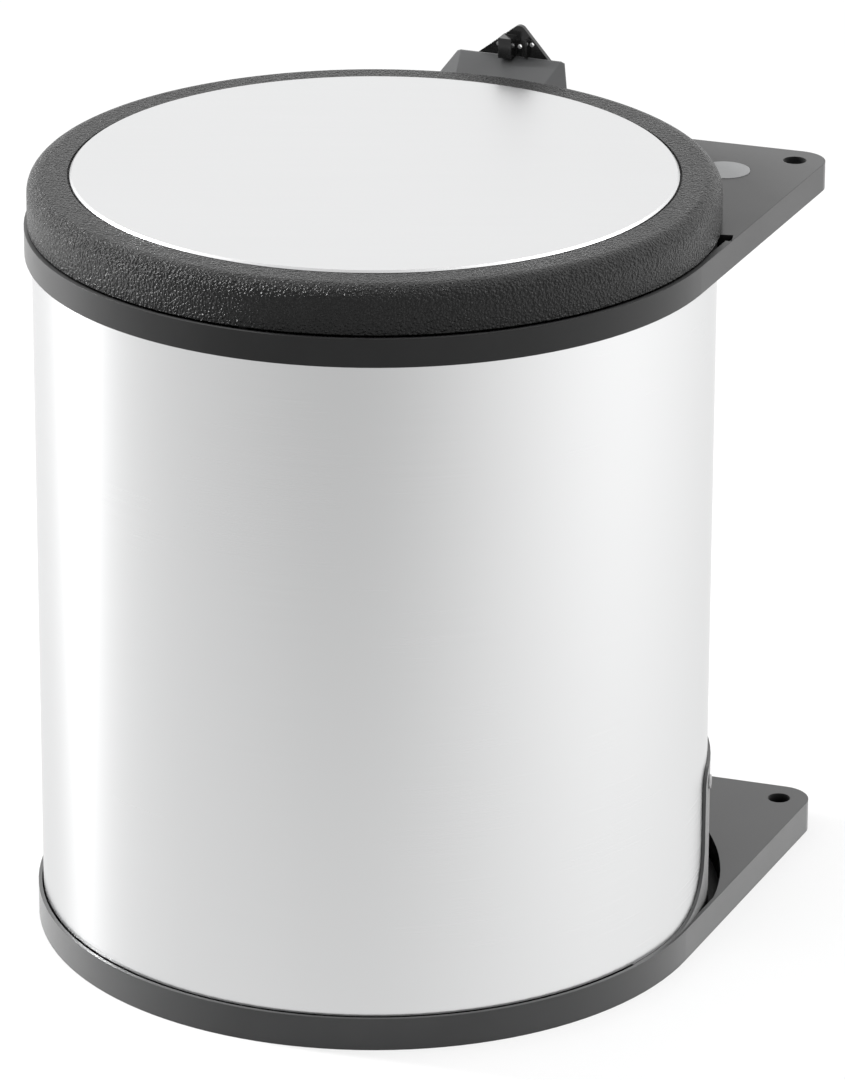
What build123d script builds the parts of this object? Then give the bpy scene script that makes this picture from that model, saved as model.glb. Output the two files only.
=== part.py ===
from build123d import *
import math
import os

# A round waste bin that swings out of a kitchen cabinet on two coaxial pivot arms.
# All sizes are in millimetres. The origin is on the axis of the bin, on the floor.
# +Z is up, -Y is the front of the lid, and the arms reach out to +X.

# Driving dimensions of the carrier ring and its arm
ring_r = 134.0
ring_h = 11.0
ring_wall = 2.4
ring_top_z = 287.0
web_drop = 3.5
web_t = 2.5
web_w = 13.5
skirt_t = 1.6
skirt_h = 8.0
arm_plate_t = 2.5
rib_t = 1.8

# Pivot, shared by both arms
pivot_reach = 179.6
pivot_azimuth = 23.3
pivot_bore_r = 4.6
pivot_tip_r = 12.0
pivot_boss_r = 8.5

# Channel beside the lid at the root of the upper arm
channel_depth = 5.0
channel_end_angle = -31.0
channel_start_turn = 6.0
notch_w = 2.2
notch_l = 7.0
notch_gap = 0.8
notch_in = 0.6
notch_shallow = 1.4

# Steel casing and its folded seam
casing_inset = 2.8
casing_t = 0.6
seam_w = 7.0
seam_t = 1.0
seam_azimuth = 115.0
seam_clear = 3.0
fit_gap = 0.1

# Base moulding
base_inset = 0.8
base_h = 13.0
base_wall = 1.4
floor_t = 2.5
spigot_t = 1.8
spigot_h = 12.0
floor_rib_h = 4.0
floor_rib_count = 12
floor_hub_r = 26.0
floor_ring_r = 78.0
groove_slide = 9.6
groove_over = 1.0

# Collar of the base that wraps the casing beside the lower arm
collar_t = 1.2
collar_top_z = 67.0
collar_half_w = 76.0
collar_foot_half_w = 118.0
collar_knee_z = 38.0
collar_corner_r = 7.0

# Lid
lid_inset = 1.2
lid_gap = 1.2
lid_h = 19.4
lid_wall = 2.4
lid_shoulder_r = 6.5
rim_band = 16.5
disc_proud = 0.8
disc_t = 0.8
disc_edge = 0.8
disc_clear = 0.9
recess_depth = 1.5
panel_t = 2.0
panel_z = 1.6
panel_clear = 0.4
panel_bead_inset = 36.8
panel_bead_w = 3.0
panel_bead_h = 0.9
stop_r = 1.6
stop_count = 3
stop_step_angle = 100.0
stop_clear = 0.3

# Lid hinge
hinge_azimuth = 68.0
pin_outset = 4.0
pin_z = 9.5
pin_r = 2.0
pin_fit = 0.06
lug_r = 5.0
lug_t = 5.0
lug_offset = 12.0
ear_r = 4.0
ear_t = 2.6
ear_back = 2.8
ear_gap = 0.5
pin_cap_r = 4.0
pin_cap_t = 1.2
pin_cap_gap = 0.2

# Hinge cover
cover_behind_pin = 7.5
cover_back_half_w = 23.0
cover_front_half_w = 30.0
cover_front_inset = 1.8
cover_front_z = 15.5
cover_back_z = 22.8
cover_wall = 2.0
cover_lid_gap = 0.1
cover_hem_z = 12.5
cover_front_hem_z = 3.5
hip_front_w = 11.6
hip_front_drop = 5.0
hip_back_w = 1.5
cover_overlap = 4.0
cover_screw_offset = 24.5
cover_screw_z = 8.5
cover_screw_l = 9.5
cover_screw_gap = 0.1
cover_boss_r = 3.2
cover_boss_l = 5.5
screw_hole_l = 14.0

# Lifting lever behind the hinge cover
lever_t = 2.2
lever_apex_x = 3.7
lever_apex_z = 36.6
lever_foot_z = 12.8
lever_foot_left = -26.5
lever_foot_right = 24.5
lever_corner_r = 3.0
lever_hole_r = 0.9
lever_hole_places = ((-5.5, 27.1), (3.7, 26.9), (8.9, 28.2))
lever_gap = 0.2
peg_w = 5.4
peg_x = -0.6
peg_top_z = 31.4
peg_reach = 6.0
peg_clear = 0.3
lever_rib_x = 6.6
lever_rib_t = 1.0
lever_rib_reach = 2.4
lever_screw_offset = 12.0
lever_screw_z = 16.6
screw_r = 1.4
screw_fit = 0.1
screw_head_r = 3.0
screw_head_t = 1.4

# Inner bucket and its bail handle
bucket_clear = 1.9
bucket_taper = 14.6
bucket_wall = 1.8
bucket_foot_z = 6.9
bucket_rim_w = 8.0
bucket_rim_t = 1.6
bucket_bead_h = 0.8
bail_inset = 8.6
bail_wire_r = 2.0
bail_drop = 9.0
bail_end_clear = 1.0
bail_ear_w = 12.0
bail_ear_reach = 3.4
grip_r = 5.6
grip_angle = 26.0
grip_fit = 0.05

# Blank disc let into the upper arm, and rivets
blank_r = 10.3
blank_outset = 14.6
blank_t = 0.9
blank_proud = 0.2
rivet_r = 1.6
rivet_head_r = 2.8
rivet_head_t = 0.8
upper_rivet_angle = 24.0
lower_rivet_angle = 31.5
pierce = 5.0
upper_rivet_drop = 9.0
lower_rivet_z = 60.5

# Values that follow from the sizes above
web_inner_r = ring_r - web_w
casing_r = ring_r - casing_inset
base_r = ring_r - base_inset
groove_r = base_r + groove_over
lid_r = ring_r - lid_inset
disc_r = lid_r - rim_band
panel_bead_r = lid_r - panel_bead_inset
pin_reach = ring_r + pin_outset
cover_back_reach = pin_reach + cover_behind_pin
cover_front_reach = lid_r - cover_front_inset
bucket_top_r = web_inner_r - bucket_clear
bucket_foot_r = bucket_top_r - bucket_taper
bucket_rim_r = bucket_top_r + bucket_rim_w
bail_r = bucket_top_r - bail_inset
blank_reach = ring_r + blank_outset
casing_in_r = casing_r - casing_t
seat_r = ring_r - ring_wall
web_top_z = ring_top_z - web_drop
web_low_z = web_top_z - web_t
ring_low_z = ring_top_z - ring_h
casing_low_z = floor_t
skirt_r = casing_in_r - fit_gap
collar_in_r = casing_r + fit_gap
collar_r = collar_in_r + collar_t
lid_low_z = ring_top_z + lid_gap
lid_top_z = ring_top_z + lid_h
recess_z = lid_top_z - recess_depth
panel_low_z = ring_top_z + panel_z
hinge_z = ring_top_z + pin_z
lever_face = cover_back_reach + lever_gap
bail_z = ring_top_z - bail_drop
lug_span = lug_offset + lug_t / 2
ear_offset = lug_span + ear_gap + ear_t / 2
pin_half = ear_offset + ear_t / 2 + pin_cap_t


def at_pivot(shape):
    """Turns a shape drawn with the pivot on +X to the real direction of the arms."""
    return Rot(0, 0, pivot_azimuth) * shape


def at_hinge(shape):
    """Turns a shape drawn with the lid hinge behind, on +Y, to the hinge's real direction."""
    return Rot(0, 0, hinge_azimuth - 90) * shape


def disc(radius, low, high):
    """A solid disc on the bin's axis between two heights."""
    return Pos(0, 0, low) * extrude(Circle(radius), high - low)


def tube(outer, inner, low, high):
    """A plain tube on the bin's axis between two heights."""
    return Pos(0, 0, low) * extrude(Circle(outer) - Circle(inner), high - low)


def block(x0, x1, y0, y1, z0, z1):
    """A block given by its two corners."""
    size = Box(x1 - x0, y1 - y0, z1 - z0)
    return Pos((x0 + x1) / 2, (y0 + y1) / 2, (z0 + z1) / 2) * size


def turned(points):
    """A body turned about the bin's axis from a closed outline of radius and height."""
    return revolve(make_face(Polyline(*[(r, 0, z) for r, z in points], close=True)), Axis.Z)


def teardrop(body_r, tip_r):
    """The plan of a ring with its arm: two circles and the tangents that join them."""
    lean = math.acos((body_r - tip_r) / pivot_reach)
    body = (body_r * math.cos(lean), body_r * math.sin(lean))
    tip = (pivot_reach + tip_r * math.cos(lean), tip_r * math.sin(lean))
    wedge = Polygon(body, (body[0], -body[1]), (tip[0], -tip[1]), tip, align=None)
    return Circle(body_r) + Pos(pivot_reach, 0) * Circle(tip_r) + wedge


def arm_underside(wall, low, high):
    """The hollow under an arm, open downwards, inside its outer wall and outside its ring."""
    plan = teardrop(ring_r - wall, pivot_tip_r - wall) - Circle(ring_r + fit_gap)
    return Pos(0, 0, low) * extrude(plan, high - low)


def arm_ribs(hollow, low, high):
    """One rib along the arm and two across it, trimmed to the hollow that they stiffen."""
    spine = block(ring_r, pivot_reach, -rib_t / 2, rib_t / 2, low, high)
    ribs = [spine & hollow]
    step = (pivot_reach - ring_r) / 3
    for n in (1, 2):
        place = ring_r + n * step
        cross = block(place - rib_t / 2, place + rib_t / 2, -ring_r, ring_r, low, high)
        ribs.append(cross & hollow)
    return ribs


def pivot_boss(low, high):
    """The solid boss round the pivot."""
    return Pos(pivot_reach, 0, low) * extrude(Circle(pivot_boss_r), high - low)


def pivot_hole(low, high):
    """The bore for the cabinet's pivot pin."""
    return Pos(pivot_reach, 0, low - 1) * extrude(Circle(pivot_bore_r), high - low + 2)


def channel():
    """The open channel between the lid and the tangent wall, in front of the arm's plate."""
    plan = teardrop(ring_r - ring_wall, pivot_tip_r - ring_wall)
    tangent = -math.degrees(math.acos((ring_r - pivot_tip_r) / pivot_reach))
    start = math.radians(tangent - channel_start_turn)
    end = math.radians(channel_end_angle)
    far = ring_r * 2
    wedge = Polygon(
        (0, 0),
        (far * math.cos(start), far * math.sin(start)),
        (far * math.cos(end), far * math.sin(end)),
        align=None,
    )
    return Pos(0, 0, ring_top_z - channel_depth) * extrude(plan & wedge, channel_depth)


def notches():
    """A slot in the channel floor beside the lid, and a shallow one in the wall's top edge."""
    slots = []
    for n, depth in enumerate((channel_depth + web_t + fit_gap, notch_shallow)):
        radius = seat_r + notch_in + n * (notch_w + notch_gap)
        slot = block(radius, radius + notch_w, -notch_l, 0, ring_top_z - depth, ring_top_z + 1)
        slots.append(Rot(0, 0, channel_end_angle) * slot)
    return slots


def hinge_lug(side):
    """One lug of the ring that carries the lid's hinge pin."""
    foot = ring_low_z - hinge_z
    wall = ring_r - ring_wall / 2 - pin_reach
    web = Polygon(
        (wall, foot),
        (wall, foot + ring_h - 1),
        (-lug_r, 0),
        (0, -lug_r),
        (ring_r + 1 - pin_reach, foot),
        align=None,
    )
    profile = Circle(lug_r) + web - Circle(pin_r + fit_gap / 4)
    solid = extrude(Plane.YZ * profile, lug_t / 2, both=True)
    return Pos(side * lug_offset, pin_reach, hinge_z) * solid


def make_upper_frame():
    """Carrier ring, arm, web that the bucket hangs on, casing groove and hinge lugs."""
    plan = teardrop(ring_r, pivot_tip_r)
    frame = Pos(0, 0, ring_low_z) * extrude(plan, ring_h)
    frame -= disc(seat_r, web_top_z, ring_top_z + 1)
    frame -= disc(seat_r, ring_low_z - 1, web_low_z)
    frame -= disc(web_inner_r, ring_low_z, ring_top_z)
    hollow_top = ring_top_z - arm_plate_t
    hollow = arm_underside(ring_wall, ring_low_z, hollow_top)
    frame -= hollow
    for rib in arm_ribs(hollow, ring_low_z, hollow_top):
        frame += rib
    frame += pivot_boss(ring_low_z, ring_top_z)
    groove = channel() - disc(seat_r, ring_low_z, ring_top_z)
    floor = groove.moved(Location((0, 0, -web_t)))
    frame += floor
    frame -= groove
    for slot in notches():
        frame -= slot
    frame += tube(skirt_r, skirt_r - skirt_t, web_low_z - skirt_h, web_low_z)
    frame -= pivot_hole(ring_low_z, ring_top_z)
    frame -= Pos(blank_reach, 0, ring_top_z - blank_t + blank_proud) * extrude(
        Circle(blank_r + fit_gap), blank_t
    )
    hole_r = rivet_r + fit_gap / 2
    for angle in (-upper_rivet_angle, upper_rivet_angle):
        frame -= radial_pin(hole_r, skirt_r - pierce, ring_r + pierce, angle, upper_rivet_z())
    frame = at_pivot(frame)
    for side in (-1, 1):
        frame += at_hinge(hinge_lug(side))
    return frame


def upper_rivet_z():
    """Height of the rivets that hold the casing to the upper ring."""
    return ring_top_z - upper_rivet_drop


def radial_pin(radius, start, end, angle, height):
    """A round pin that points away from the bin's axis."""
    pin = Cylinder(radius, end - start, rotation=(0, 90, 0))
    return Rot(0, 0, angle) * Pos((start + end) / 2, 0, height) * pin


def collar():
    """The upstand that wraps the casing beside the lower arm, with hollowed shoulders."""
    ring = tube(collar_r, collar_in_r, floor_t, collar_top_z)
    with BuildSketch(Plane.YZ) as front:
        with BuildLine():
            Line((-collar_foot_half_w, 0), (collar_foot_half_w, 0))
            Line((collar_foot_half_w, 0), (collar_foot_half_w, base_h))
            Spline(
                (collar_foot_half_w, base_h),
                (collar_half_w, collar_knee_z),
                tangents=((-1, 0), (0, 1)),
            )
            Line((collar_half_w, collar_knee_z), (collar_half_w, collar_top_z))
            Line((collar_half_w, collar_top_z), (-collar_half_w, collar_top_z))
            Line((-collar_half_w, collar_top_z), (-collar_half_w, collar_knee_z))
            Spline(
                (-collar_half_w, collar_knee_z),
                (-collar_foot_half_w, base_h),
                tangents=((0, -1), (-1, 0)),
            )
            Line((-collar_foot_half_w, base_h), (-collar_foot_half_w, 0))
        make_face()
        top = front.vertices().group_by(Axis.Y)[-1]
        fillet(top, collar_corner_r)
    return ring & extrude(front.sketch, ring_r * 1.2)


def make_lower_frame():
    """Base rim with its arm, ribbed floor, casing spigot and collar."""
    plan = teardrop(base_r, pivot_tip_r)
    frame = extrude(plan, base_h)
    inner = teardrop(base_r - base_wall, pivot_tip_r - base_wall)
    well = Pos(0, 0, floor_t) * extrude(inner, base_h)
    slid = Rot(0, 0, hinge_azimuth - pivot_azimuth) * Pos(groove_slide, 0)
    groove = Circle(groove_r) + slid * Circle(groove_r)
    grown = Circle(groove_r + rib_t) + slid * Circle(groove_r + rib_t)
    plate = Pos(0, 0, base_h - arm_plate_t) * extrude(inner - groove, arm_plate_t)
    frame -= well
    frame += plate
    hollow = extrude(inner - grown, base_h - arm_plate_t)
    frame -= hollow
    for rib in arm_ribs(hollow, 0, base_h - arm_plate_t):
        frame += rib
    frame += extrude((grown - groove) & inner, base_h)
    frame += pivot_boss(0, base_h)
    frame -= pivot_hole(0, base_h)
    spigot_r = casing_in_r - fit_gap
    frame += tube(spigot_r, spigot_r - spigot_t, floor_t, spigot_h)
    frame += collar()
    reach = spigot_r - spigot_t
    rib_top = floor_t + floor_rib_h
    hub = tube(floor_hub_r, floor_hub_r - rib_t, floor_t, rib_top)
    ring = tube(floor_ring_r, floor_ring_r - rib_t, floor_t, rib_top)
    frame += [hub, ring]
    for n in range(floor_rib_count):
        rib = block(floor_hub_r - rib_t / 2, reach + 0.5, -rib_t / 2, rib_t / 2, floor_t, rib_top)
        frame += Rot(0, 0, n * 360 / floor_rib_count) * rib
    hole_r = rivet_r + fit_gap / 2
    for angle in (-lower_rivet_angle, lower_rivet_angle):
        frame -= radial_pin(hole_r, casing_r - pierce, collar_r + pierce, angle, lower_rivet_z)
    return at_pivot(frame)


def make_casing():
    """Rolled sheet-steel casing with a flat lock seam inside, pierced for its rivets."""
    casing = tube(casing_r, casing_in_r, casing_low_z, web_low_z)
    seam_low = spigot_h + seam_clear
    seam_high = web_low_z - skirt_h - seam_clear
    seam = block(
        casing_in_r - seam_t,
        casing_in_r + casing_t / 2,
        -seam_w / 2,
        seam_w / 2,
        seam_low,
        seam_high,
    )
    casing += Rot(0, 0, seam_azimuth - pivot_azimuth) * seam
    rows = ((lower_rivet_angle, lower_rivet_z), (upper_rivet_angle, upper_rivet_z()))
    hole_r = rivet_r + fit_gap / 2
    for angle, height in rows:
        for side in (-1, 1):
            casing -= radial_pin(hole_r, casing_r - pierce, casing_r + pierce, side * angle, height)
    return at_pivot(casing)


def rivet(inner, outer, angle, height):
    """A rivet with a flat head at each end of its grip, clear of the curve inside."""
    near = math.sqrt(inner**2 - rivet_head_r**2) - fit_gap / 4
    far = outer + fit_gap
    parts = radial_pin(rivet_r, near - rivet_head_t, far + rivet_head_t, angle, height)
    parts += radial_pin(rivet_head_r, near - rivet_head_t, near, angle, height)
    parts += radial_pin(rivet_head_r, far, far + rivet_head_t, angle, height)
    return parts


def make_rivets(inner, outer, angle, height):
    """The two rivets on each side of an arm."""
    pair = [rivet(inner, outer, side * angle, height) for side in (-1, 1)]
    return at_pivot(Compound(children=pair))


def make_lid_rim():
    """Moulded lid: textured rim, recess for the steel disc, and a hollow underside."""
    low = lid_low_z
    top = lid_top_z
    with BuildSketch(Plane.XZ) as section:
        with BuildLine():
            Polyline(
                (0, recess_z),
                (disc_r + disc_clear, recess_z),
                (disc_r + disc_clear, top),
                (lid_r, top),
                (lid_r, low),
                (lid_r - lid_wall, low),
                (lid_r - lid_wall, recess_z - lid_wall),
                (0, recess_z - lid_wall),
                close=True,
            )
        make_face()
        shoulder = section.vertices().group_by(Axis.X)[-1].sort_by(Axis.Y)[-1]
        fillet(shoulder, lid_shoulder_r)
    rim = revolve(section.sketch, Axis.Z)
    for screw in cover_screw_places(screw_r + screw_fit):
        rim -= screw
    return rim


def make_lid_disc():
    """Pressed steel disc with a turned-down edge, let into the lid."""
    top = lid_top_z + disc_proud
    foot = recess_z
    return turned(
        [
            (0, top),
            (disc_r - disc_edge, top),
            (disc_r, top - disc_edge),
            (disc_r, foot),
            (disc_r - disc_t, foot),
            (disc_r - disc_t, top - disc_edge - disc_t / 3),
            (disc_r - disc_edge - disc_t / 3, top - disc_t),
            (0, top - disc_t),
        ]
    )


def make_disc_pad():
    """Foam pad that fills the space under the steel disc and bonds it to the lid."""
    high = lid_top_z + disc_proud - disc_t
    return disc(disc_r - disc_t * 2 - disc_edge, recess_z, high)


def make_inner_panel():
    """Panel that closes the underside of the lid, with one stiffening bead."""
    radius = lid_r - lid_wall - panel_clear
    panel = disc(radius, panel_low_z, panel_low_z + panel_t)
    bead_outer = panel_bead_r + panel_bead_w / 2
    bead_inner = panel_bead_r - panel_bead_w / 2
    panel += tube(bead_outer, bead_inner, panel_low_z - panel_bead_h, panel_low_z)
    return panel


def make_lid_stops():
    """Three rubber stops that the closed lid rests on, between bucket rim and ring."""
    middle = (bucket_rim_r + lid_r - lid_wall) / 2
    low = web_top_z + stop_clear
    stops = []
    for n in range(stop_count):
        stop = Pos(middle, 0, low) * extrude(Circle(stop_r), panel_low_z - low)
        turn = hinge_azimuth + 180 + (n - 1) * stop_step_angle
        stops.append(Rot(0, 0, turn) * stop)
    return Compound(children=stops)


def hip_cut(side, inset):
    """The space above one sloping hip of the hinge cover, or of its hollow."""
    back = (side * (cover_back_half_w - hip_back_w), cover_back_reach, ring_top_z + cover_back_z)
    front = (side * (cover_front_half_w - hip_front_w), cover_front_reach, ring_top_z + cover_front_z)
    low = (
        side * cover_front_half_w,
        cover_front_reach,
        ring_top_z + cover_front_z - hip_front_drop,
    )
    along = Vector(*back) - Vector(*front)
    across = Vector(*low) - Vector(*front)
    normal = along.cross(across)
    if normal.Z < 0:
        normal = -normal
    plane = Plane(origin=front, x_dir=along, z_dir=normal)
    deep = cover_back_reach
    return plane * Pos(0, 0, deep / 2 - inset) * Box(deep, deep, deep)


def cover_outline(inset):
    """The hinge cover's outer form, or its hollow when inset by the wall."""
    back = cover_back_reach - inset
    wall = cover_wall if inset else 0
    slope = (cover_back_z - cover_front_z) / (cover_back_reach - cover_front_reach)
    drop = inset * math.hypot(1, slope)
    front = cover_front_reach - cover_overlap
    front_z = cover_front_z - cover_overlap * slope - drop
    hem = cover_front_hem_z - 1 if inset else cover_front_hem_z
    side = Polygon(
        (front, hem),
        (front, front_z),
        (back, cover_back_z - drop - inset * slope),
        (back, hem),
        align=None,
    )
    prism = Pos(0, 0, ring_top_z) * extrude(Plane.YZ * side, cover_front_half_w * 2, both=True)
    spread = (cover_front_half_w - cover_back_half_w) / (cover_back_reach - cover_front_reach)
    half_back = cover_back_half_w - wall
    half_front = cover_front_half_w + cover_overlap * spread - wall
    plan = Polygon(
        (-half_front, front),
        (half_front, front),
        (half_back + inset * spread, back),
        (-half_back - inset * spread, back),
        align=None,
    )
    form = prism & (Pos(0, 0, ring_top_z - ring_h) * extrude(plan, ring_h * 4))
    for side in (-1, 1):
        form -= hip_cut(side, inset)
    return form


def cover_screw_places(radius):
    """The two screw holes from inside the lid into the hinge cover's bosses."""
    holes = []
    for side in (-1, 1):
        hole = Cylinder(radius, screw_hole_l, rotation=(90, 0, 0))
        place = Pos(side * cover_screw_offset, lid_r - 1, ring_top_z + cover_screw_z)
        holes.append(at_hinge(place * hole))
    return holes


def make_hinge_cover():
    """Smooth sloping hood over the lid's hinge, with two ears on the pin and screw bosses."""
    shell = cover_outline(0)
    shell -= cover_outline(cover_wall)
    clear = lid_r + cover_lid_gap
    lid_space = disc(clear, ring_top_z - ring_h, lid_top_z + lid_h)
    shell -= lid_space
    far = cover_back_reach + cover_wall
    below = block(-far, far, pin_reach - pin_r, far, ring_top_z, ring_top_z + cover_hem_z)
    shell -= below
    for side in (-1, 1):
        shell += hinge_ear(side)
        boss = Cylinder(cover_boss_r, cover_boss_l, rotation=(90, 0, 0))
        middle = clear + cover_boss_l * 0.4
        solid = Pos(side * cover_screw_offset, middle, ring_top_z + cover_screw_z) * boss
        solid -= lid_space
        shell += solid & cover_outline(0)
    shell = at_hinge(shell)
    for hole in cover_screw_places(screw_r):
        shell -= hole
    for screw in lever_screw_places(screw_r):
        shell -= at_hinge(screw)
    return shell


def hinge_ear(side):
    """An ear inside the hinge cover that turns on the pin."""
    roof = Polygon(
        (-lug_r, 0),
        (-lug_r, cover_back_z),
        (ear_back, cover_back_z),
        (ear_back, 0),
        align=None,
    )
    profile = Circle(ear_r) + roof
    solid = extrude(Plane.YZ * profile, ear_t / 2, both=True)
    solid = Pos(side * ear_offset, pin_reach, hinge_z) * solid
    bore = Cylinder(pin_r + pin_fit, ear_t * 3, rotation=(0, 90, 0))
    solid -= Pos(side * ear_offset, pin_reach, hinge_z) * bore
    return solid & cover_outline(0)


def make_hinge_pin():
    """Steel pin through the ring's lugs and the cover's ears."""
    pin = Cylinder(pin_r, pin_half * 2, rotation=(0, 90, 0))
    return at_hinge(Pos(0, pin_reach, hinge_z) * pin)


def make_pin_caps():
    """Push-on caps that hold the hinge pin endways."""
    caps = []
    for side in (-1, 1):
        cap = Cylinder(pin_cap_r, pin_cap_t - pin_cap_gap, rotation=(0, 90, 0))
        cap -= Cylinder(pin_r, pin_cap_t * 2, rotation=(0, 90, 0))
        caps.append(at_hinge(Pos(side * (pin_half - pin_cap_t / 2), pin_reach, hinge_z) * cap))
    return Compound(children=caps)


def lever_screw_places(radius):
    """The two fixing holes through the lever and the cover's back wall."""
    holes = []
    for side in (-1, 1):
        hole = Cylinder(radius, screw_hole_l / 2, rotation=(90, 0, 0))
        holes.append(Pos(side * lever_screw_offset, lever_face, ring_top_z + lever_screw_z) * hole)
    return holes


def make_lid_lever():
    """Upright triangular lever behind the cover: a pull on it towards the back lifts the lid."""
    outline = Polygon(
        (lever_foot_left, lever_foot_z),
        (lever_foot_right, lever_foot_z),
        (lever_apex_x, lever_apex_z),
        align=None,
    )
    outline = fillet(outline.vertices(), lever_corner_r)
    for x, z in lever_hole_places:
        outline -= Pos(x, z) * Circle(lever_hole_r)
    plate = extrude(Plane.XZ * outline, -lever_t)
    lever = Pos(0, lever_face, ring_top_z) * plate
    back = lever_face + lever_t / 2
    top = ring_top_z + peg_top_z
    foot = ring_top_z + cover_back_z + peg_clear
    left = peg_x - peg_w / 2
    lever += block(left, left + peg_w, lever_face - peg_reach, back, foot, top)
    lever += block(
        lever_rib_x, lever_rib_x + lever_rib_t, lever_face - lever_rib_reach, back, foot, top - 1
    )
    for hole in lever_screw_places(screw_r + screw_fit):
        lever -= hole
    return at_hinge(lever)


def screw(length):
    """A pan-head screw along +Y with its head behind the origin."""
    shank = Pos(0, length / 2, 0) * Cylinder(screw_r, length, rotation=(90, 0, 0))
    head = Pos(0, -screw_head_t / 2, 0) * Cylinder(screw_head_r, screw_head_t, rotation=(90, 0, 0))
    return shank + head


def make_lever_screws():
    """Screws that hold the lever to the back of the cover."""
    screws = []
    for side in (-1, 1):
        place = Pos(
            side * lever_screw_offset, lever_face + lever_t, ring_top_z + lever_screw_z
        ) * Rot(0, 0, 180)
        screws.append(at_hinge(place * screw(lever_t + cover_wall)))
    return Compound(children=screws)


def make_cover_screws():
    """Screws from inside the lid that hold the hinge cover."""
    screws = []
    for side in (-1, 1):
        reach = math.sqrt((lid_r - lid_wall) ** 2 - (cover_screw_offset + screw_head_r) ** 2)
        place = Pos(side * cover_screw_offset, reach - cover_screw_gap, ring_top_z + cover_screw_z)
        screws.append(at_hinge(place * screw(cover_screw_l)))
    return Compound(children=screws)


def make_bucket():
    """Tapered inner bucket that hangs by its rim, with two ears for the bail."""
    top = web_top_z
    foot = bucket_foot_z
    rim_top = top + bucket_rim_t
    wall = turned(
        [
            (0, foot),
            (bucket_foot_r, foot),
            (bucket_top_r, top),
            (bucket_rim_r, top),
            (bucket_rim_r, rim_top + bucket_bead_h),
            (bucket_rim_r - bucket_rim_t, rim_top + bucket_bead_h),
            (bucket_rim_r - bucket_rim_t, rim_top),
            (bucket_top_r - bucket_wall, rim_top),
            (bucket_foot_r - bucket_wall, foot + bucket_wall),
            (0, foot + bucket_wall),
        ]
    )
    for side in (-1, 1):
        wall += at_hinge(bail_ear(side))
    return wall


def bail_ear(side):
    """A bored block inside the bucket's rim that one end of the bail turns in."""
    outer = bucket_top_r - bucket_wall / 2
    inner = outer - bucket_wall / 2 - bail_ear_reach
    half = bail_ear_w / 2
    ear = block(inner, outer, -half, half, bail_z - half, web_top_z + bucket_rim_t)
    bore = Cylinder(bail_wire_r + pin_fit, bail_ear_w, rotation=(0, 90, 0))
    ear -= Pos(bucket_top_r - bucket_wall - bail_ear_w / 2, 0, bail_z) * bore
    return Rot(0, 0, 0 if side > 0 else 180) * ear


def arc_bar(section, angle):
    """A bar of the given section along the bail's circle, centred on the front."""
    bar = revolve(Plane.XZ * Pos(bail_r, 0) * section, Axis.Z, angle)
    return Rot(0, 0, -90 - angle / 2) * bar


def make_bail():
    """Steel wire bail: a half hoop that lies level in the bucket's mouth."""
    hoop = arc_bar(Circle(bail_wire_r), 180)
    end = bucket_top_r - bucket_wall - bail_end_clear
    for side in (-1, 1):
        hoop += Pos(side * bail_r, 0, 0) * Sphere(bail_wire_r)
        hoop += Pos(side * (bail_r + end) / 2, 0, 0) * Cylinder(
            bail_wire_r, end - bail_r, rotation=(0, 90, 0)
        )
    return at_hinge(Pos(0, 0, bail_z) * hoop)


def make_grip():
    """Moulded grip on the middle of the bail."""
    grip = arc_bar(Circle(grip_r) - Circle(bail_wire_r + grip_fit), grip_angle)
    return at_hinge(Pos(0, 0, bail_z) * grip)


def make_blank_disc():
    """Plain disc let into the top of the upper arm."""
    low = ring_top_z - blank_t + blank_proud
    return at_pivot(Pos(blank_reach, 0, low) * extrude(Circle(blank_r), blank_t))


def main():
    """Builds every piece and writes one file for each."""
    os.makedirs("parts", exist_ok=True)
    inner_skirt = skirt_r - skirt_t
    pieces = {
        "upper_frame": make_upper_frame(),
        "lower_frame": make_lower_frame(),
        "casing": make_casing(),
        "upper_rivets": make_rivets(inner_skirt, ring_r, upper_rivet_angle, upper_rivet_z()),
        "lower_rivets": make_rivets(casing_in_r, collar_r, lower_rivet_angle, lower_rivet_z),
        "arm_blank_disc": make_blank_disc(),
        "hinge_pin": make_hinge_pin(),
        "hinge_pin_caps": make_pin_caps(),
        "lid_rim": make_lid_rim(),
        "lid_disc": make_lid_disc(),
        "lid_disc_pad": make_disc_pad(),
        "lid_inner_panel": make_inner_panel(),
        "lid_stops": make_lid_stops(),
        "hinge_cover": make_hinge_cover(),
        "hinge_cover_screws": make_cover_screws(),
        "lid_lever": make_lid_lever(),
        "lever_screws": make_lever_screws(),
        "bucket": make_bucket(),
        "bucket_bail": make_bail(),
        "bail_grip": make_grip(),
    }
    for name, shape in pieces.items():
        export_step(shape, f"parts/{name}.step")
        print(name, len(shape.solids()), round(shape.volume))


main()
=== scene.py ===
"""Studio scene of a round swing-out waste bin: finishes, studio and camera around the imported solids."""

import logging
import math
from dataclasses import dataclass, field
from enum import Enum
from typing import Optional, Sequence

import bpy
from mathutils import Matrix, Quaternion, Vector


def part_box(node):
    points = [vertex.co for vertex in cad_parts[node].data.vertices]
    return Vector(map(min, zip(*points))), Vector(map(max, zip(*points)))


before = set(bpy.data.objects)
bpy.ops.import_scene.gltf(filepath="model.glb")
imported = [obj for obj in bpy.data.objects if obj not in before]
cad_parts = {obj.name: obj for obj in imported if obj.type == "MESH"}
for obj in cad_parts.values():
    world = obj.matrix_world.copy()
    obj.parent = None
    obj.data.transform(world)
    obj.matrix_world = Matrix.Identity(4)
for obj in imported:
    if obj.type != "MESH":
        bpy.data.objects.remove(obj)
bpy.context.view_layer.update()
CASING_LOW, CASING_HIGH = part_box("casing")
CASING_R = (CASING_HIGH.x - CASING_LOW.x) / 2
LOG = logging.getLogger("waste_bin")

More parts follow.
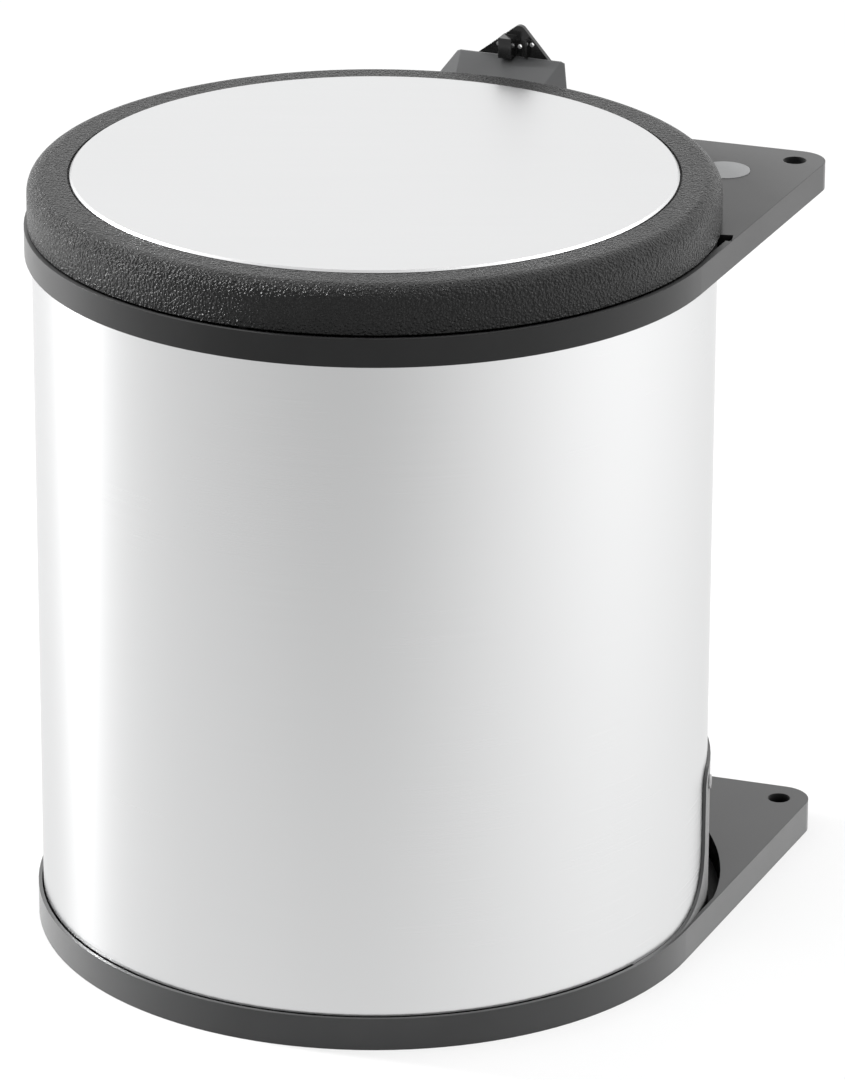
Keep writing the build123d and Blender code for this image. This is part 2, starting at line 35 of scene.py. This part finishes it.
Colour = tuple[float, float, float]
MM = 0.001
WHITE = (1, 1, 1, 1)
NOISE_RANGE = (0.3, 0.7)
WORN_TURN = (0.8, 0.995)
# Ambient occlusion range and samples for the painted shade in gaps.
HIDDEN_RANGE = (0.22, 0.5)
BEVEL_SAMPLES = 4
HIDDEN_SAMPLES = 8
MIX_SHARE, MIX_FIRST, MIX_SECOND, MIX_RESULT = 0, 6, 7, 2


class Brushing(Enum):
    """The way a steel surface was brushed."""

    AROUND = "around"
    ACROSS = "across"


def grey(level: float, tint: float = 0.0) -> Colour:
    """Makes a near-neutral linear colour from a display level.

    Args:
        level: Display brightness from 0 to 255.
        tint: Share by which blue is stronger and red weaker.

    Returns:
        The linear red, green and blue.
    """
    share = level / 255
    linear = share / 12.92 if share <= 0.04045 else ((share + 0.055) / 1.055) ** 2.4
    return (linear * (1 - tint), linear, linear * (1 + tint))


class Bench:
    """Lays out the nodes of one material or world and wires them."""

    def __init__(self, tree: bpy.types.NodeTree) -> None:
        """Starts from an empty tree.

        Args:
            tree: The node tree to fill.
        """
        self.tree = tree
        tree.nodes.clear()
        self._texture_space: Optional[bpy.types.NodeSocket] = None

    def node(self, kind: str, **settings: object) -> bpy.types.Node:
        """Adds a node and sets its properties.

        Args:
            kind: The node's type without its ShaderNode prefix.
            settings: Properties of the node.

        Returns:
            The new node.
        """
        made = self.tree.nodes.new("ShaderNode" + kind)
        for name, value in settings.items():
            setattr(made, name, value)
        return made

    def feed(self, node: bpy.types.Node, **inputs: object) -> bpy.types.Node:
        """Sets or wires the inputs of a node.

        Args:
            node: The node whose inputs are fed.
            inputs: Input names, with underscores for spaces, and a value or a socket for each.

        Returns:
            The same node.
        """
        for name, value in inputs.items():
            socket = node.inputs[name.replace("_", " ")]
            if isinstance(value, bpy.types.NodeSocket):
                self.tree.links.new(value, socket)
            else:
                socket.default_value = value
        return node

    def space(self) -> bpy.types.NodeSocket:
        """Gives the object's own coordinates, in metres."""
        if self._texture_space is None:
            self._texture_space = self.node("TexCoord").outputs["Object"]
        return self._texture_space

    def math(self, operation: str, *values: object) -> bpy.types.NodeSocket:
        """Adds one arithmetic step.

        Args:
            operation: The operation's name.
            values: One to three numbers or sockets.

        Returns:
            The result's socket.
        """
        step = self.node("Math", operation=operation)
        for place, value in zip(step.inputs, values):
            if isinstance(value, bpy.types.NodeSocket):
                self.tree.links.new(value, place)
            else:
                place.default_value = value
        return step.outputs[0]

    def spread(self, source: bpy.types.NodeSocket, low: float, high: float,
               from_low: float = 0.0, from_high: float = 1.0) -> bpy.types.NodeSocket:
        """Maps a value to a new range.

        Args:
            source: The value to map.
            low: Result at from_low.
            high: Result at from_high.
            from_low: Lower end of the source's range.
            from_high: Upper end of the source's range.

        Returns:
            The mapped value's socket.
        """
        mapped = self.node("MapRange")
        self.feed(mapped, Value=source, From_Min=from_low, From_Max=from_high, To_Min=low, To_Max=high)
        return mapped.outputs["Result"]

    def noise(self, scale: float, detail: float = 3.0,
              where: Optional[bpy.types.NodeSocket] = None) -> bpy.types.NodeSocket:
        """Adds cloudy noise.

        Args:
            scale: Features per metre.
            detail: Number of finer layers.
            where: Coordinates to use in place of the object's own.

        Returns:
            The noise value's socket.
        """
        made = self.node("TexNoise")
        self.feed(made, Vector=where or self.space(), Scale=scale, Detail=detail)
        return made.outputs["Fac"]

    def pebbles(self, scale: float, soft: float) -> bpy.types.NodeSocket:
        """Adds rounded cells, as in moulded leather grain.

        Args:
            scale: Cells per metre.
            soft: How much neighbouring cells melt together.

        Returns:
            The distance from each cell's middle.
        """
        cells = self.node("TexVoronoi", feature="SMOOTH_F1")
        self.feed(cells, Vector=self.space(), Scale=scale, Smoothness=soft, Randomness=1.0)
        return cells.outputs["Distance"]

    def stretched(self, size: Sequence[float],
                  where: Optional[bpy.types.NodeSocket] = None) -> bpy.types.NodeSocket:
        """Scales coordinates differently along each axis.

        Args:
            size: The three scales.
            where: Coordinates to use in place of the object's own.

        Returns:
            The scaled coordinates' socket.
        """
        mapping = self.node("Mapping")
        self.feed(mapping, Vector=where or self.space(), Scale=tuple(size))
        return mapping.outputs["Vector"]

    def unrolled(self, radius: float) -> bpy.types.NodeSocket:
        """Unrolls the surface of an upright cylinder into arc length and height.

        Args:
            radius: The cylinder's radius in metres.

        Returns:
            Coordinates of arc length, zero and height.
        """
        parts = self.node("SeparateXYZ")
        self.feed(parts, Vector=self.space())
        turn = self.math("ARCTAN2", parts.outputs["Y"], parts.outputs["X"])
        arc = self.math("MULTIPLY", turn, radius)
        joined = self.node("CombineXYZ")
        self.feed(joined, X=arc, Z=parts.outputs["Z"])
        return joined.outputs["Vector"]

    def rounded(self, radius: float) -> bpy.types.NodeSocket:
        """Gives normals that round over sharp edges.

        Args:
            radius: The rounding's radius in metres.

        Returns:
            The rounded normal's socket.
        """
        return self.feed(self.node("Bevel", samples=BEVEL_SAMPLES), Radius=radius).outputs["Normal"]

    def edges(self, radius: float) -> bpy.types.NodeSocket:
        """Finds the edges, where wear shows first and where some finishes paint a highlight.

        Args:
            radius: Width of the worn band in metres.

        Returns:
            A mask that is 0 on flat faces and 1 on edges.
        """
        flat = self.node("NewGeometry").outputs["Normal"]
        dot = self.node("VectorMath", operation="DOT_PRODUCT")
        self.tree.links.new(self.rounded(radius), dot.inputs[0])
        self.tree.links.new(flat, dot.inputs[1])
        return self.spread(dot.outputs["Value"], 1.0, 0.0, *WORN_TURN)

    def painted_gap_shade(self, reach: float) -> bpy.types.NodeSocket:
        """Finds deep slots and gaps, where shade is painted into the surface.

        Args:
            reach: How far the walls of a gap may lie, in metres.

        Returns:
            A share that is 0 deep inside a gap and 1 on open faces.
        """
        hidden = self.feed(self.node("AmbientOcclusion", samples=HIDDEN_SAMPLES), Distance=reach)
        return self.spread(hidden.outputs["AO"], 0.0, 1.0, *HIDDEN_RANGE)

    def relief(self, height: bpy.types.NodeSocket, depth: float, strength: float,
               normal: bpy.types.NodeSocket) -> bpy.types.NodeSocket:
        """Turns a height into surface relief.

        Args:
            height: The height's socket.
            depth: Depth in metres.
            strength: Share of the effect.
            normal: The normal that the relief is added to.

        Returns:
            The new normal's socket.
        """
        bump = self.node("Bump")
        self.feed(bump, Height=height, Distance=depth, Strength=strength, Normal=normal)
        return bump.outputs["Normal"]

    def blend(self, share: bpy.types.NodeSocket, first: Colour | bpy.types.NodeSocket,
              second: Colour | bpy.types.NodeSocket) -> bpy.types.NodeSocket:
        """Blends two colours by a varying share.

        Args:
            share: The share of the second colour.
            first: Colour or socket where the share is 0.
            second: Colour or socket where the share is 1.

        Returns:
            The blended colour's socket.
        """
        mix = self.node("Mix", data_type="RGBA")
        self.tree.links.new(share, mix.inputs[MIX_SHARE])
        for place, colour in zip((mix.inputs[MIX_FIRST], mix.inputs[MIX_SECOND]), (first, second)):
            if isinstance(colour, bpy.types.NodeSocket):
                self.tree.links.new(colour, place)
            else:
                place.default_value = (*colour, 1)
        return mix.outputs[MIX_RESULT]

    def mixed(self, share: bpy.types.NodeSocket, first: bpy.types.Node,
              second: bpy.types.Node) -> bpy.types.Node:
        """Mixes two shaders.

        Args:
            share: The share of the second shader.
            first: Shader where the share is 0.
            second: Shader where the share is 1.

        Returns:
            The mixing node.
        """
        made = self.node("MixShader")
        for place, source in zip(made.inputs, (share, first.outputs[0], second.outputs[0])):
            self.tree.links.new(source, place)
        return made

    def surface(self, **inputs: object) -> None:
        """Ends a material in one physical surface shader.

        Args:
            inputs: Inputs of the shader, as for feed.
        """
        shader = self.feed(self.node("BsdfPrincipled"), **inputs)
        output = self.node("OutputMaterial")
        self.tree.links.new(shader.outputs[0], output.inputs["Surface"])


@dataclass(frozen=True)
class Finish:
    """A named surface finish. Subclasses wire the nodes."""

    name: str

    def wire(self, bench: Bench) -> None:
        """Wires the finish's nodes; each kind of finish has its own."""
        raise NotImplementedError

    def material(self) -> bpy.types.Material:
        """Makes the material once and gives the same one afterwards.

        Returns:
            The material of this finish.
        """
        made = bpy.data.materials.get(self.name)
        if made is None:
            made = bpy.data.materials.new(self.name)
            made.use_nodes = True
            self.wire(Bench(made.node_tree))
        return made


@dataclass(frozen=True)
class SatinMoulding(Finish):
    """Smooth injection-moulded plastic with a fine spark-eroded texture and slightly polished edges."""

    level: float = 60
    roughness: float = 0.4
    smoothest: float = 0.9
    roughest: float = 1.12
    polish: float = 0.5
    grain: float = 0.35
    grain_scale: float = 5200
    grain_depth: float = 0.03 * MM
    cloud_scale: float = 26
    mottle: float = 0.35
    tint: float = 0.02
    edge: float = 0.35 * MM
    # Edge lift: paler edges, partly rubbed wear and partly a painted highlight.
    edge_lift: float = 16
    edge_gloss: float = 0.06
    bloom: float = 0.35
    bloom_roughness: float = 0.45
    # Reach and tone of the painted shade in gaps and slots.
    gap: float = 8 * MM
    painted_shade_level: float = 6

    def wire(self, bench: Bench) -> None:
        """Wires mottled colour, fine grain, polished edges that are paler from wear and a painted
        highlight, and painted shade in gaps.
        """
        cloud = bench.noise(self.cloud_scale, 4)
        fine = bench.noise(self.grain_scale, 2)
        edge = bench.edges(self.edge)
        shade = bench.math("ADD", bench.spread(cloud, 0.0, self.mottle, *NOISE_RANGE), edge)
        # Paler edge colour: partly wear, partly a painted highlight along the edges.
        plain, paler = grey(self.level, self.tint), grey(self.level + self.edge_lift, self.tint)
        # Painted shade: ambient occlusion darkens the colour, gloss and sheen inside gaps and slots.
        unshaded_share = bench.painted_gap_shade(self.gap)
        colour = bench.blend(unshaded_share, grey(self.painted_shade_level), bench.blend(shade, plain, paler))
        smooth, coarse = self.roughness * self.smoothest, self.roughness * self.roughest
        patch = bench.spread(cloud, smooth, coarse, *NOISE_RANGE)
        rough = bench.math("SUBTRACT", patch, bench.math("MULTIPLY", edge, self.edge_gloss))
        normal = bench.relief(fine, self.grain_depth, self.grain, bench.rounded(self.edge))
        bench.surface(Base_Color=colour, Roughness=rough, Normal=normal,
                      Specular_IOR_Level=bench.math("MULTIPLY", unshaded_share, self.polish),
                      Sheen_Weight=bench.math("MULTIPLY", unshaded_share, self.bloom),
                      Sheen_Roughness=self.bloom_roughness)


@dataclass(frozen=True)
class LeatherGrain(Finish):
    """Moulded plastic with a pebbled leather grain."""

    level: float = 14
    tint: float = 0.02
    cells: float = 900
    melt: float = 0.35
    small_cells: float = 1710
    small_melt: float = 0.3
    small_share: float = 0.45
    depth: float = 0.7 * MM
    edge: float = 0.4 * MM
    crease_range: tuple[float, float] = (0.25, 0.75)
    # Share of the crown colour kept in the creases, as painted shade.
    crease_shade_share: float = 0.6
    crease_dulling: float = 0.2
    roughness: float = 0.2
    patch_scale: float = 30
    patchiness: float = 0.03
    polish: float = 0.3
    bloom: float = 0.08
    bloom_roughness: float = 0.4

    def wire(self, bench: Bench) -> None:
        """Wires pebbles of two sizes, with painted shade in their creases and shinier crowns."""
        pebble = bench.pebbles(self.cells, self.melt)
        small = bench.pebbles(self.small_cells, self.small_melt)
        crowns = bench.math("MULTIPLY", pebble, -1.0)
        height = bench.math("ADD", crowns, bench.math("MULTIPLY", small, -self.small_share))
        # Painted shade: the creases between pebbles get a darker colour.
        crease = bench.spread(pebble, 0.0, 1.0, *self.crease_range)
        crown_colour = grey(self.level, self.tint)
        painted_crease_shade = grey(self.level * self.crease_shade_share, self.tint)
        colour = bench.blend(crease, crown_colour, painted_crease_shade)
        dulled = bench.spread(crease, self.roughness, self.roughness + self.crease_dulling)
        cloud = bench.noise(self.patch_scale, 3)
        patch = bench.spread(cloud, -self.patchiness, self.patchiness, *NOISE_RANGE)
        normal = bench.relief(height, self.depth, 1.0, bench.rounded(self.edge))
        bench.surface(Base_Color=colour, Roughness=bench.math("ADD", dulled, patch), Normal=normal,
                      Specular_IOR_Level=self.polish, Sheen_Weight=self.bloom,
                      Sheen_Roughness=self.bloom_roughness)


@dataclass(frozen=True)
class GlossMoulding(Finish):
    """Glossy black plastic with faint flow marks."""

    level: float = 22
    edge_lift: float = 26
    edge: float = 0.3 * MM
    roughness: float = 0.12
    patch_scale: float = 400
    dulling: float = 0.08
    wave_scale: float = 90
    wave_depth: float = 0.2 * MM
    wave_strength: float = 0.25
    polish: float = 0.6

    def wire(self, bench: Bench) -> None:
        """Wires a near-black gloss with slow waves and paler edges."""
        edge = bench.edges(self.edge)
        colour = bench.blend(edge, grey(self.level), grey(self.level + self.edge_lift))
        patch = bench.noise(self.patch_scale, 3)
        rough = bench.spread(patch, self.roughness, self.roughness + self.dulling, *NOISE_RANGE)
        wave = bench.noise(self.wave_scale, 2)
        normal = bench.relief(wave, self.wave_depth, self.wave_strength, bench.rounded(self.edge))
        bench.surface(Base_Color=colour, Roughness=rough, Specular_IOR_Level=self.polish, Normal=normal)


@dataclass(frozen=True)
class SatinSteel(Finish):
    """Satin stainless sheet, brushed around an upright cylinder or straight across a disc."""

    level: float = 232
    darker_by: float = 3
    paler_by: float = 2
    tint: float = 0.004
    roughness: float = 0.24
    smoother_by: float = 0.02
    rougher_by: float = 0.03
    patch_scale: float = 9
    patchiness: float = 0.012
    brushing: Brushing = Brushing.AROUND
    radius: float = CASING_R
    anisotropy: float = 0.6
    streak: float = 0.03
    line_scale: float = 5200
    along_scale: float = 14
    line_share: float = 0.6
    line_depth: float = 0.004 * MM
    edge: float = 0.25 * MM
    edge_share: float = 0.4

    def wire(self, bench: Bench) -> None:
        """Wires fine brush lines in colour, gloss and relief."""
        if self.brushing is Brushing.AROUND:
            scales = (self.along_scale, self.along_scale, self.line_scale)
            lines = bench.stretched(scales, bench.unrolled(self.radius))
            tangent = bench.node("Tangent", direction_type="RADIAL", axis="Z").outputs[0]
        else:
            lines = bench.stretched((self.along_scale, self.line_scale, self.along_scale))
            tangent = bench.node("Tangent", direction_type="RADIAL", axis="Y").outputs[0]
        fine = bench.noise(1.0, 3, lines)
        worn = bench.math("MULTIPLY", bench.edges(self.edge), self.edge_share)
        shade = bench.math("ADD", bench.spread(fine, 0.0, self.line_share, *NOISE_RANGE), worn)
        darker = grey(self.level - self.darker_by, self.tint)
        paler = grey(self.level + self.paler_by, self.tint)
        smooth, coarse = self.roughness - self.smoother_by, self.roughness + self.rougher_by
        brushed = bench.spread(fine, smooth, coarse, *NOISE_RANGE)
        cloud = bench.noise(self.patch_scale, 3)
        patch = bench.spread(cloud, -self.patchiness, self.patchiness, *NOISE_RANGE)
        normal = bench.relief(fine, self.line_depth, self.streak, bench.rounded(self.edge))
        bench.surface(Base_Color=bench.blend(shade, darker, paler), Metallic=1.0,
                      Roughness=bench.math("ADD", brushed, patch), Anisotropic=self.anisotropy,
                      Tangent=tangent, Normal=normal)


@dataclass(frozen=True)
class DrawnMetal(Finish):
    """Drawn wire and turned fasteners: bright metal with fine draw marks."""

    level: float = 205
    dull_drop: float = 28
    roughness: float = 0.28
    dulling: float = 0.14
    patch_scale: float = 150
    patch_range: tuple[float, float] = (0.35, 0.65)
    scratch_scale: float = 2600
    scratch_depth: float = 0.01 * MM
    scratch_strength: float = 0.3
    edge: float = 0.25 * MM

    def wire(self, bench: Bench) -> None:
        """Wires tiny scratches and dull patches."""
        patch = bench.noise(self.patch_scale, 3)
        dull = bench.spread(patch, 0.0, 1.0, *self.patch_range)
        colour = bench.blend(dull, grey(self.level), grey(self.level - self.dull_drop))
        coarse = self.roughness + self.dulling
        rough = bench.spread(patch, self.roughness, coarse, *self.patch_range)
        scratch = bench.noise(self.scratch_scale, 3)
        smooth = bench.rounded(self.edge)
        normal = bench.relief(scratch, self.scratch_depth, self.scratch_strength, smooth)
        bench.surface(Base_Color=colour, Metallic=1.0, Roughness=rough, Normal=normal)


@dataclass(frozen=True)
class SoftStop(Finish):
    """Matt rubber or foam with a dusty, porous skin."""

    level: float = 38
    dust_lift: float = 18
    dust_scale: float = 220
    dust_range: tuple[float, float] = (0.35, 0.7)
    pores: float = 900
    pore_melt: float = 0.2
    pore_depth: float = 0.12 * MM
    pore_strength: float = 0.5
    edge: float = 0.2 * MM
    roughness: float = 0.78
    roughest: float = 0.95
    polish: float = 0.3

    def wire(self, bench: Bench) -> None:
        """Wires pores and a dusty bloom."""
        pore = bench.pebbles(self.pores, self.pore_melt)
        dust = bench.spread(bench.noise(self.dust_scale, 4), 0.0, 1.0, *self.dust_range)
        colour = bench.blend(dust, grey(self.level), grey(self.level + self.dust_lift))
        rough = bench.spread(pore, self.roughness, self.roughest)
        normal = bench.relief(pore, self.pore_depth, self.pore_strength, bench.rounded(self.edge))
        bench.surface(Base_Color=colour, Roughness=rough, Specular_IOR_Level=self.polish, Normal=normal)


UPPER_MOULDING = SatinMoulding(
    "upper_moulding_charcoal", level=22, roughness=0.34, polish=0.24, bloom=0.28
)
# Same charcoal plastic as the upper moulding, painted paler to stand for the extra light it gets near the
# floor.
LOWER_MOULDING_PAINTED_PALER = SatinMoulding(
    # The wider gap reach spreads the painted shade into the slots and the pocket beside the collar.
    "lower_moulding_charcoal_painted_paler", level=44, roughness=0.36, polish=0.34, bloom=0.5, gap=18 * MM
)
HOOD_MOULDING = SatinMoulding("hood_charcoal", level=62, roughness=0.42, polish=0.4, edge=0.9 * MM)
BUCKET_MOULDING = SatinMoulding("bucket_grey", level=88, roughness=0.48)
PANEL_MOULDING = SatinMoulding("lid_underside_grey", level=84, roughness=0.46)
BLANK_MOULDING = SatinMoulding("blank_disc_grey", level=112, roughness=0.34)
LID_GRAIN = LeatherGrain("lid_leather_grain")
LEVER_GLOSS = GlossMoulding("lever_gloss_black")
CASING_STEEL = SatinSteel("casing_satin_steel")
DISC_STEEL = SatinSteel(
    "disc_satin_steel", level=232, roughness=0.32, brushing=Brushing.ACROSS, anisotropy=0.3
)
BRIGHT_METAL = DrawnMetal("bright_fasteners")
RUBBER = SoftStop("stop_rubber_black")
FOAM = SoftStop("pad_foam_grey", level=120, pores=1400)


def direction(azimuth: float, elevation: float) -> Vector:
    """Gives the way from the bin to a place around it.

    Args:
        azimuth: Degrees around the bin, 0 towards the camera and 90 to its right.
        elevation: Degrees above the floor.

    Returns:
        A vector of length 1.
    """
    turn, lift = math.radians(azimuth), math.radians(elevation)
    return Vector((math.sin(turn) * math.cos(lift), -math.cos(turn) * math.cos(lift), math.sin(lift)))


def dress(node: str, finish: Finish) -> None:
    """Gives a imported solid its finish.

    Args:
        node: The solid's name.
        finish: The finish that it takes.
    """
    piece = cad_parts[node]
    if not piece.material_slots:
        piece.data.materials.append(None)
    for place in piece.material_slots:
        place.material = finish.material()
    LOG.info("dressed %s with %s", node, finish.name)


@dataclass
class Group:
    """A sub-assembly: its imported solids, each with its finish."""

    finishes: dict[str, Finish]

    def build(self) -> None:
        """Dresses each solid of the sub-assembly."""
        for node, finish in self.finishes.items():
            dress(node, finish)


@dataclass
class CarrierGroup(Group):
    """Ring with its arm, foot with its arm, casing, rivets, blank disc and hinge pin."""

    finishes: dict[str, Finish] = field(default_factory=lambda: {
        "upper_frame": UPPER_MOULDING,
        "lower_frame": LOWER_MOULDING_PAINTED_PALER,
        "casing": CASING_STEEL,
        "upper_rivets": BRIGHT_METAL,
        "lower_rivets": BRIGHT_METAL,
        "arm_blank_disc": BLANK_MOULDING,
        "hinge_pin": BRIGHT_METAL,
        "hinge_pin_caps": UPPER_MOULDING,
    })


@dataclass
class LidGroup(Group):
    """Lid rim, steel disc, underside, stops, hood and lever."""

    finishes: dict[str, Finish] = field(default_factory=lambda: {
        "lid_rim": LID_GRAIN,
        "lid_disc": DISC_STEEL,
        "lid_disc_pad": FOAM,
        "lid_inner_panel": PANEL_MOULDING,
        "lid_stops": RUBBER,
        "hinge_cover": HOOD_MOULDING,
        "hinge_cover_screws": BRIGHT_METAL,
        "lid_lever": LEVER_GLOSS,
        "lever_screws": BRIGHT_METAL,
    })


@dataclass
class BucketGroup(Group):
    """Inner bucket with its bail and grip."""

    finishes: dict[str, Finish] = field(default_factory=lambda: {
        "bucket": BUCKET_MOULDING,
        "bucket_bail": BRIGHT_METAL,
        "bail_grip": LEVER_GLOSS,
    })


@dataclass(frozen=True)
class SoftBox:
    """A soft box aimed at the bin; azimuth 0 is the camera's side and 90 its right."""

    name: str
    azimuth: float
    elevation: float
    width: float
    height: float
    watts: float
    mirrored: bool = True
    reach: float = 2.2
    aim_height: float = 0.15

    def build(self) -> None:
        """Hangs the lamp at its distance and turns it towards the bin."""
        data = bpy.data.lights.new(self.name, "AREA")
        data.shape = "RECTANGLE"
        data.size, data.size_y = self.width, self.height
        data.energy = self.watts
        lamp = bpy.data.objects.new(self.name, data)
        lamp.visible_glossy = self.mirrored
        away = direction(self.azimuth, self.elevation)
        lamp.location = Vector((0, 0, self.aim_height)) + away * self.reach
        lamp.rotation_mode = "QUATERNION"
        lamp.rotation_quaternion = (-away).to_track_quat("-Z", "Y")
        bpy.context.scene.collection.objects.link(lamp)


@dataclass(frozen=True)
class Studio:
    """Pale floor, soft surroundings, lamps and the camera.

    The sweep lists what shiny surfaces see around the bin: a direction in degrees, 0 towards the
    camera and 90 to its right, and a brightness.
    """

    floor_half: float = 8.0
    floor_tone: float = 0.93
    near_white: float = 0.6
    whitening: tuple[float, float] = (0.35, 1.4)
    floor_glow: float = 0.92
    floor_share: float = 0.65
    mirrored_reach: tuple[float, float] = (0.13, 0.85)
    fill: float = 0.62
    camera_place: tuple[float, float, float] = (0.0, -2.3395, 1.0947)
    pitch: float = 20.9307
    yaw: float = 0.4538
    roll: float = 0.1917
    lens: float = 215.70
    sensor: float = 36
    shift: float = -0.1
    far_limit: float = 40
    sweep: tuple[tuple[float, float], ...] = (
        (-180, 1.0), (-140, 1.02), (-130, 1.15), (-122, 2.6), (-115, 2.6), (-107, 1.15), (-86, 0.88),
        (-62, 0.75), (-42, 0.7), (-22, 0.61), (0, 0.6), (18, 0.72), (38, 0.9), (64, 1.13),
        (88, 1.28), (108, 1.2), (130, 1.1), (154, 0.97), (180, 1.0),
    )
    lamps: tuple[SoftBox, ...] = (
        SoftBox("soft_box_left", azimuth=-108, elevation=28, width=0.24, height=0.9, watts=44),
        SoftBox("soft_box_right", azimuth=100, elevation=40, width=1.2, height=1.6, watts=16),
        SoftBox("soft_box_above", azimuth=10, elevation=80, width=2.0, height=2.0, watts=22,
                mirrored=False),
    )

    def floor_material(self) -> bpy.types.Material:
        """Makes the floor's matt white, which fades out in what the steel mirrors.

        Returns:
            The floor's material.
        """
        material = bpy.data.materials.new("studio_floor_pale")
        material.use_nodes = True
        bench = Bench(material.node_tree)
        path = bench.node("LightPath")
        length = bench.node("VectorMath", operation="LENGTH")
        bench.tree.links.new(bench.space(), length.inputs[0])
        distance = length.outputs["Value"]
        matt = bench.feed(bench.node("BsdfDiffuse"), Color=(*([self.floor_tone] * 3), 1))
        glow = bench.feed(bench.node("Emission"), Color=WHITE, Strength=1.0)
        whiter = bench.spread(distance, self.near_white, 1.0, *self.whitening)
        seen = bench.mixed(bench.math("MULTIPLY", path.outputs["Is Camera Ray"], whiter), matt, glow)
        near = bench.spread(distance, self.floor_share, 0.0, *self.mirrored_reach)
        clear = bench.feed(bench.node("BsdfTransparent"), Color=WHITE)
        pale = bench.feed(bench.node("Emission"), Color=WHITE, Strength=self.floor_glow)
        whole = bench.mixed(path.outputs["Is Glossy Ray"], seen, bench.mixed(near, clear, pale))
        bench.tree.links.new(whole.outputs[0], bench.node("OutputMaterial").inputs["Surface"])
        return material

    def build_floor(self) -> None:
        """Lays the pale floor, which keeps the bin's soft shadow."""
        half = self.floor_half
        corners = [(-half, -half, 0), (half, -half, 0), (half, half, 0), (-half, half, 0)]
        mesh = bpy.data.meshes.new("studio_floor")
        mesh.from_pydata(corners, [], [tuple(range(len(corners)))])
        mesh.materials.append(self.floor_material())
        floor = bpy.data.objects.new("studio_floor", mesh)
        bpy.context.scene.collection.objects.link(floor)

    def sweep_ramp(self, bench: Bench, brightest: float) -> bpy.types.NodeSocket:
        """Lays the sweep's tones around the bin.

        Args:
            bench: The bench of the world's nodes.
            brightest: The sweep's highest brightness, which gives full white.

        Returns:
            The tone in each direction.
        """
        parts = bench.node("SeparateXYZ")
        bench.tree.links.new(bench.node("TexCoord").outputs["Generated"], parts.inputs[0])
        toward = bench.math("MULTIPLY", parts.outputs["Y"], -1.0)
        turn = bench.math("ARCTAN2", parts.outputs["X"], toward)
        ramp = bench.node("ValToRGB")
        ramp.color_ramp.interpolation = "B_SPLINE"
        stops = ramp.color_ramp.elements
        while len(stops) < len(self.sweep):
            stops.new(0.5)
        for stop, (angle, value) in zip(stops, self.sweep):
            stop.position = (angle + 180) / 360
            stop.color = (*([value / brightest] * 3), 1)
        bench.tree.links.new(bench.spread(turn, 0.0, 1.0, -math.pi, math.pi), ramp.inputs[0])
        return ramp.outputs[0]

    def build_world(self) -> None:
        """Surrounds the bin with a soft sweep that steel mirrors as upright bands."""
        world = bpy.data.worlds.new("studio_sweep")
        world.use_nodes = True
        bpy.context.scene.world = world
        bench = Bench(world.node_tree)
        brightest = max(value for _, value in self.sweep)
        tones = self.sweep_ramp(bench, brightest)
        band = bench.feed(bench.node("Background"), Color=tones, Strength=brightest)
        plain = bench.feed(bench.node("Background"), Color=WHITE, Strength=self.fill)
        white = bench.feed(bench.node("Background"), Color=WHITE, Strength=1.0)
        path = bench.node("LightPath")
        first = bench.mixed(path.outputs["Is Glossy Ray"], plain, band)
        last = bench.mixed(path.outputs["Is Camera Ray"], first, white)
        bench.tree.links.new(last.outputs[0], bench.node("OutputWorld").inputs["Surface"])

    def build_camera(self) -> None:
        """Sets the camera at the photograph's place, looking down at the bin."""
        data = bpy.data.cameras.new("studio_camera")
        data.lens = self.lens
        data.sensor_width = self.sensor
        data.shift_y = self.shift
        data.clip_end = self.far_limit
        camera = bpy.data.objects.new("studio_camera", data)
        camera.location = self.camera_place
        ahead = direction(180 - self.yaw, -self.pitch)
        camera.rotation_mode = "QUATERNION"
        tilt = Quaternion((0, 0, 1), math.radians(self.roll))
        camera.rotation_quaternion = ahead.to_track_quat("-Z", "Y") @ tilt
        bpy.context.scene.collection.objects.link(camera)
        bpy.context.scene.camera = camera

    def build(self) -> None:
        """Builds the whole studio."""
        bpy.context.scene.view_settings.view_transform = "Standard"
        self.build_floor()
        self.build_world()
        for lamp in self.lamps:
            lamp.build()
        self.build_camera()
        LOG.info("studio ready")


def main() -> None:
    """Builds each group in order and reports it."""
    logging.basicConfig(level=logging.INFO, format="%(name)s: %(message)s")
    for group in (CarrierGroup(), LidGroup(), BucketGroup(), Studio()):
        group.build()
        LOG.info("built %s", type(group).__name__)


if __name__ == "__main__":
    main()
